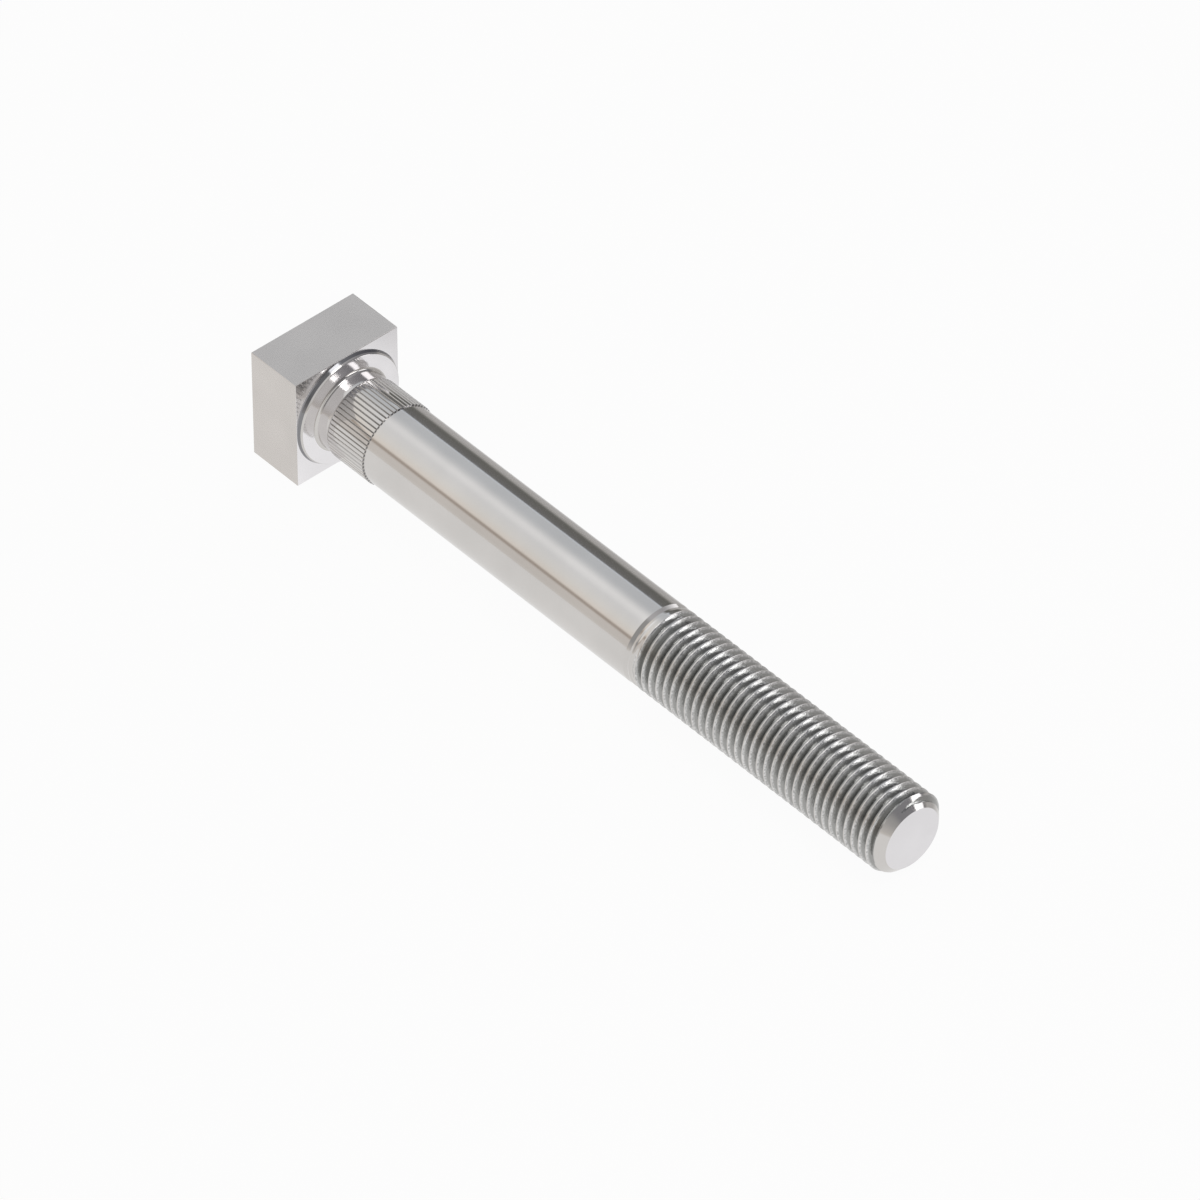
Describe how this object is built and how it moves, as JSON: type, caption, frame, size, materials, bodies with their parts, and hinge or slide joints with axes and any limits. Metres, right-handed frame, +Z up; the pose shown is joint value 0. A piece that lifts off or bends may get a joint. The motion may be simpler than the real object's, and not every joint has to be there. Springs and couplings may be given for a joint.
{
  "type": "square head bolt",
  "caption": "Long steel bolt with a square head, a round washer boss, a short straight knurl under the head and a thread over the far part of its shank.",
  "frame": {"origin": "centre of the bearing face, the flat of the round boss under the head", "axes": "+X along the bolt's axis from the head to the thread's end, +Z up, with two flats of the head level"},
  "size_m": [0.2165, 0.0324, 0.0324],
  "materials": {
    "steel": "bright machined steel, satin flats and smooth turned faces"
  },
  "bodies": {
    "root": {"square_head_bolt": "steel"}
  },
  "joints": []
}
